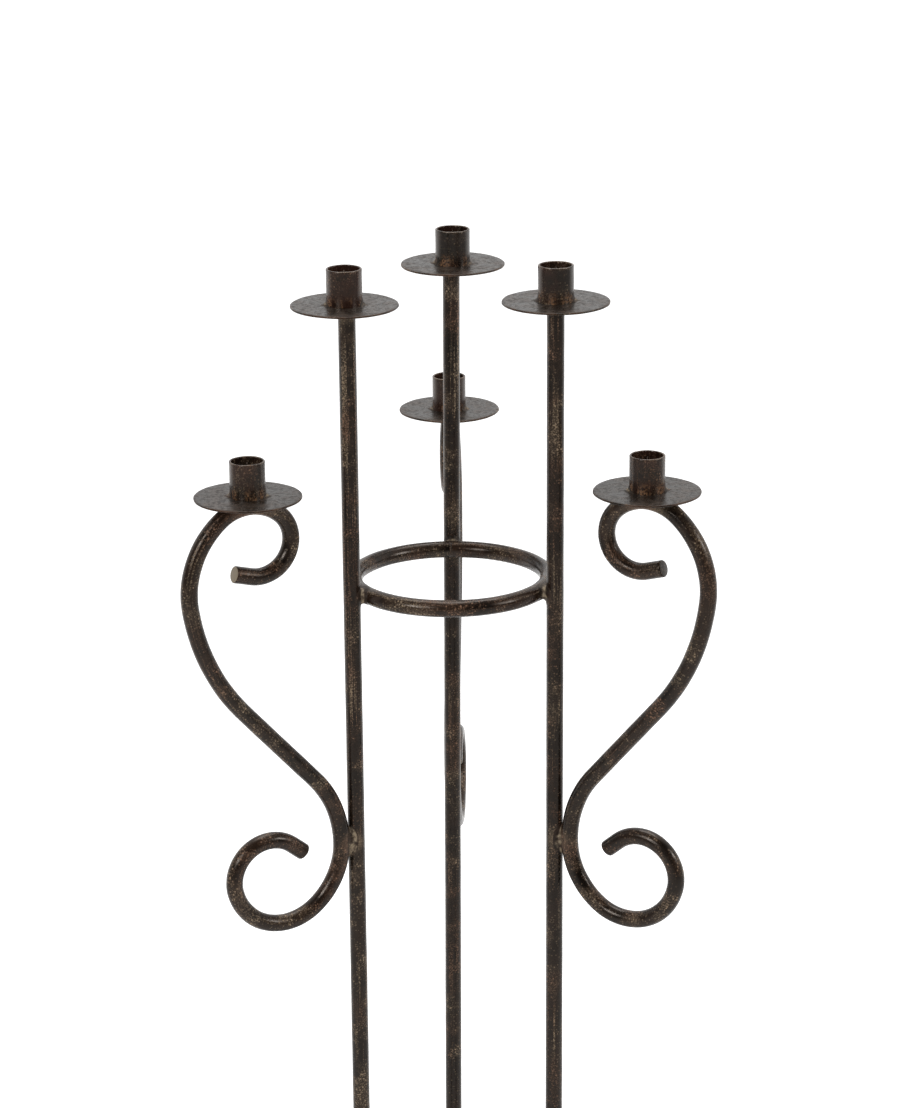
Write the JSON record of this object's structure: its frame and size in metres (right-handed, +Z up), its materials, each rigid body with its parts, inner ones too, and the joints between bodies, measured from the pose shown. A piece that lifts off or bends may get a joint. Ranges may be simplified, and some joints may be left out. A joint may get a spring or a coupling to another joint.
{
  "type": "candelabrum",
  "caption": "Floor-standing wrought-iron candelabrum: round-bar uprights tied by rings, S-scroll arms and scroll feet, each light a drip pan with a candle cup and spike.",
  "frame": {"origin": "centre of the footprint's bounding box on the floor, in front of the stand's own axis", "axes": "+Z up; +Y towards the back, where the rear upright and rear arm stand; +X to the right of a person facing the front"},
  "size_m": [0.4399, 0.3858, 1.147],
  "materials": {
    "upright_iron": "dark brown-black waxed iron bar with long worn tan streaks and pitting",
    "ring_iron": "dark brown-black waxed iron bar, rubbed to tan on its upper edges",
    "scroll_iron": "dark brown-black waxed iron bar with pale pitted specks",
    "pan_plate": "grey-brown waxed steel sheet with faint scratches and a worn brown edge",
    "cup_tube": "dark red-brown waxed steel tube, rusty at the foot",
    "pricket_steel": "dark steel with a paler rubbed point",
    "weld_metal": "lumpy tan-grey weld metal"
  },
  "bodies": {
    "root": {"upright_rear": "upright_iron", "upright_left": "upright_iron", "upright_right": "upright_iron", "tie_ring_upper": "ring_iron", "tie_ring_lower": "ring_iron", "arm_scroll_rear": "scroll_iron", "arm_scroll_left": "scroll_iron", "arm_scroll_right": "scroll_iron", "foot_scroll_rear": "scroll_iron", "foot_scroll_left": "scroll_iron", "foot_scroll_right": "scroll_iron", "upright_pan_rear": "pan_plate", "upright_pan_left": "pan_plate", "upright_pan_right": "pan_plate", "arm_pan_rear": "pan_plate", "arm_pan_left": "pan_plate", "arm_pan_right": "pan_plate", "upright_cup_rear": "cup_tube", "upright_cup_left": "cup_tube", "upright_cup_right": "cup_tube", "arm_cup_rear": "cup_tube", "arm_cup_left": "cup_tube", "arm_cup_right": "cup_tube", "upright_pricket_rear": "pricket_steel", "upright_pricket_left": "pricket_steel", "upright_pricket_right": "pricket_steel", "arm_pricket_rear": "pricket_steel", "arm_pricket_left": "pricket_steel", "arm_pricket_right": "pricket_steel", "upper_ring_welds": "weld_metal", "lower_ring_welds": "weld_metal", "arm_welds": "weld_metal", "foot_welds": "weld_metal", "upright_pan_welds": "weld_metal", "arm_pan_welds": "weld_metal", "cup_tack_welds": "weld_metal"}
  },
  "joints": []
}
